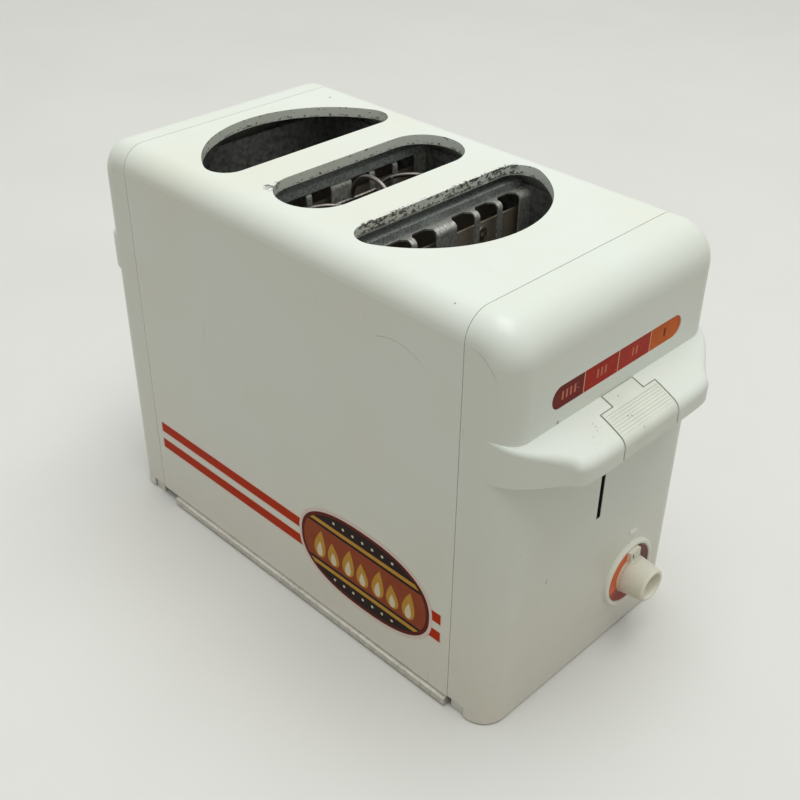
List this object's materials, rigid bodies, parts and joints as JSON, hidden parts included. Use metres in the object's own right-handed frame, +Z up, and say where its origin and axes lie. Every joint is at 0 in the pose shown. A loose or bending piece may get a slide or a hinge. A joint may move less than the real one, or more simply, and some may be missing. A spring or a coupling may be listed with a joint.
{
  "type": "hot dog toaster",
  "caption": "Upright kitchen toaster with half-round bun wells, a middle well with a lift-out wire cage for sausages, a push lever, a timer knob and a pull-out crumb tray.",
  "frame": {"origin": "middle of the footprint, on the surface that the feet stand on", "axes": "+X towards the end with the lever and the timer knob, +Z up, the crumb tray pulls out towards -Y"},
  "size_m": [0.31, 0.142, 0.21],
  "materials": {
    "white_paint": "gloss enamel on sheet",
    "white_plastic": "glossy moulded plastic",
    "lever_plastic": "glossy plastic, fine ribs",
    "knob_plastic": "cream plastic",
    "label_print": "printed strip",
    "dial_print": "printed disc",
    "bezel_plastic": "glossy plastic",
    "gland_rubber": "matt",
    "timer_case": "matt",
    "shaft_steel": "turned",
    "frame_steel": "zinc plated sheet",
    "foot_plastic": "moulded plastic",
    "plate_steel": "aluminised sheet",
    "guard_steel": "heat-darkened sheet",
    "mica": "brown mica board",
    "ribbon_alloy": "flat resistance ribbon",
    "cover_steel": "dark sheet",
    "eyelet_steel": "plated eyelet",
    "spring_steel": "spring wire",
    "bush_plastic": "moulded bush",
    "wire_steel": "heat-darkened plated wire",
    "magnet_steel": "pressed core",
    "coil_copper": "varnished winding",
    "switch_case": "moulded",
    "terminal_plastic": "moulded",
    "tray_steel": "sheet with worn edge",
    "screw_steel": "zinc plated"
  },
  "bodies": {
    "housing": {"shell_wrap": "white_paint", "front_cap": "white_plastic", "rear_cap": "white_plastic", "cord_gland": "gland_rubber", "cook_label": "label_print", "dial_bezel": "bezel_plastic", "timer_body": "timer_case", "base_frame": "frame_steel", "feet": "foot_plastic", "front_bulkhead": "plate_steel", "rear_bulkhead": "plate_steel", "inner_wall_left": "plate_steel", "inner_wall_right": "plate_steel", "card_eyelets": "eyelet_steel", "guide_rod": "shaft_steel", "rod_bracket": "frame_steel", "return_spring": "spring_steel", "latch_magnet": "magnet_steel", "magnet_coil": "coil_copper", "main_switch": "switch_case", "terminal_block": "terminal_plastic", "cap_screws": "screw_steel", "frame_screws": "screw_steel", "divider_cover_front": "cover_steel", "divider_cover_rear": "cover_steel", "guard_bun_front": "guard_steel", "heater_card_bun_front": "mica", "heater_ribbon_bun_front": "ribbon_alloy", "guard_dog_front": "guard_steel", "heater_card_dog_front": "mica", "heater_ribbon_dog_front": "ribbon_alloy", "guard_dog_rear": "guard_steel", "heater_card_dog_rear": "mica", "heater_ribbon_dog_rear": "ribbon_alloy", "guard_bun_rear": "guard_steel", "heater_card_bun_rear": "mica", "heater_ribbon_bun_rear": "ribbon_alloy"},
    "carriage": {"push_lever": "lever_plastic", "carriage_plate": "frame_steel", "carriage_bush": "bush_plastic", "lift_frame": "frame_steel", "bun_rack_front": "wire_steel", "bun_rack_rear": "wire_steel", "dog_rack": "wire_steel", "latch_keeper": "magnet_steel"},
    "knob": {"timer_knob": "knob_plastic", "timer_shaft": "shaft_steel", "dial_label": "dial_print"},
    "tray": {"crumb_tray": "tray_steel"},
    "cage": {"cage_rings": "wire_steel", "cage_posts": "wire_steel", "cage_cross_wires": "wire_steel", "cage_bail": "wire_steel"}
  },
  "joints": [
    {"name": "lever_slide", "type": "slide", "parent": "housing", "child": "carriage", "axis": [0, 0, 1], "range_m": [-0.042, 0], "stiffness_N_per_m": 120, "springref_m": 0.06, "deforming": ["return_spring"]},
    {"name": "timer_turn", "type": "hinge", "parent": "housing", "child": "knob", "pos_m": [0.135, 0.0325, 0.0345], "axis": [-1, 0, 0], "range_deg": [0, 270]},
    {"name": "tray_pull", "type": "slide", "parent": "housing", "child": "tray", "axis": [0, -1, 0], "range_m": [0, 0.12]},
    {"name": "cage_lift", "type": "slide", "parent": "carriage", "child": "cage", "axis": [0, 0, 1], "range_m": [0, 0.2]}
  ]
}
